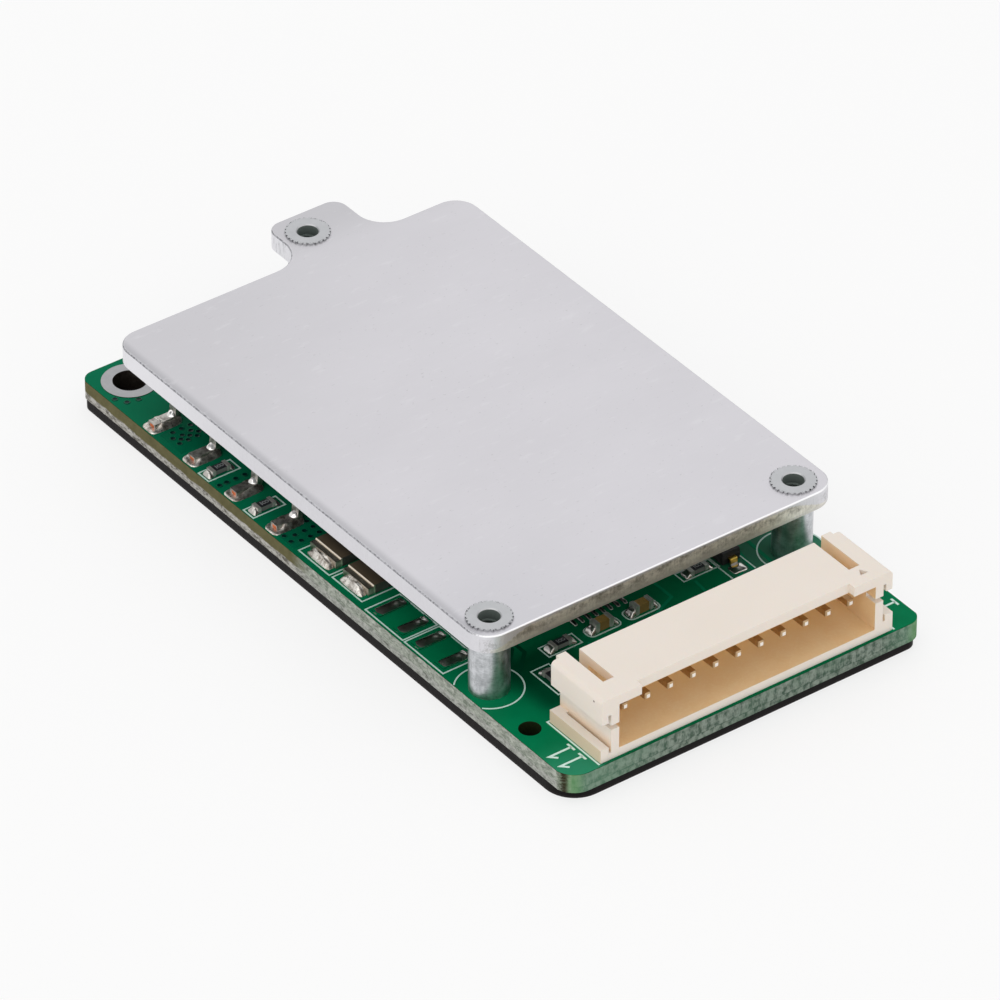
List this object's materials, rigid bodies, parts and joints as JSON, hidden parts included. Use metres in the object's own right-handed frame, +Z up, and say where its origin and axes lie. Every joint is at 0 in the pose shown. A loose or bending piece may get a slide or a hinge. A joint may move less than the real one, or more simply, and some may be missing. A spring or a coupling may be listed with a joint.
{
  "type": "battery management board",
  "caption": "Long narrow circuit board under a tabbed aluminium heat plate on threaded standoffs, with an ivory side-entry wire connector at one end.",
  "frame": {"origin": "middle of the board's outline, at the underside of the backing sheet", "axes": "+Z up through the board, +Y along its length from the connector end to the tab end, +X across it to the right as seen from the connector end"},
  "size_m": [0.0317, 0.0604, 0.0088],
  "materials": {
    "black_backing": "black insulating sheet, semi-gloss",
    "green_laminate": "glass-epoxy laminate with green solder mask",
    "rolled_aluminium": "fine rolled",
    "plated_steel": "matte zinc plating",
    "ivory_nylon": "moulded nylon",
    "tinned_brass": "tin plated",
    "tinned_copper": "tin plated copper with bare cut ends",
    "black_epoxy": "moulded epoxy",
    "grey_silicone": "thermally conductive silicone pad",
    "shunt_ceramic": "dark glaze between tinned end caps",
    "resistor_ceramic": "black glaze between tinned end caps",
    "capacitor_ceramic": "brown ceramic between tinned end caps"
  },
  "bodies": {
    "root": {"backing_sheet": "black_backing", "circuit_board": "green_laminate", "heat_spreader": "rolled_aluminium", "standoff_front_left": "plated_steel", "standoff_front_right": "plated_steel", "standoff_rear": "plated_steel", "connector_housing": "ivory_nylon", "connector_pin_01": "tinned_brass", "connector_pin_02": "tinned_brass", "connector_pin_03": "tinned_brass", "connector_pin_04": "tinned_brass", "connector_pin_05": "tinned_brass", "connector_pin_06": "tinned_brass", "connector_pin_07": "tinned_brass", "connector_pin_08": "tinned_brass", "connector_pin_09": "tinned_brass", "connector_pin_10": "tinned_brass", "connector_pin_11": "tinned_brass", "mosfet_1_case": "black_epoxy", "mosfet_1_gate_lead": "tinned_copper", "mosfet_1_source_lead": "tinned_copper", "mosfet_1_drain_tab": "tinned_copper", "thermal_pad_1": "grey_silicone", "mosfet_2_case": "black_epoxy", "mosfet_2_gate_lead": "tinned_copper", "mosfet_2_source_lead": "tinned_copper", "mosfet_2_drain_tab": "tinned_copper", "thermal_pad_2": "grey_silicone", "shunt_1": "shunt_ceramic", "shunt_2": "shunt_ceramic", "chip_resistor_1": "resistor_ceramic", "chip_resistor_2": "resistor_ceramic", "chip_resistor_3": "resistor_ceramic", "chip_resistor_4": "resistor_ceramic", "chip_resistor_5": "resistor_ceramic", "chip_capacitor_1": "capacitor_ceramic", "chip_capacitor_2": "capacitor_ceramic", "diode_leads": "tinned_copper", "diode_body": "black_epoxy", "controller_leads": "tinned_copper", "controller_body": "black_epoxy"}
  },
  "joints": []
}
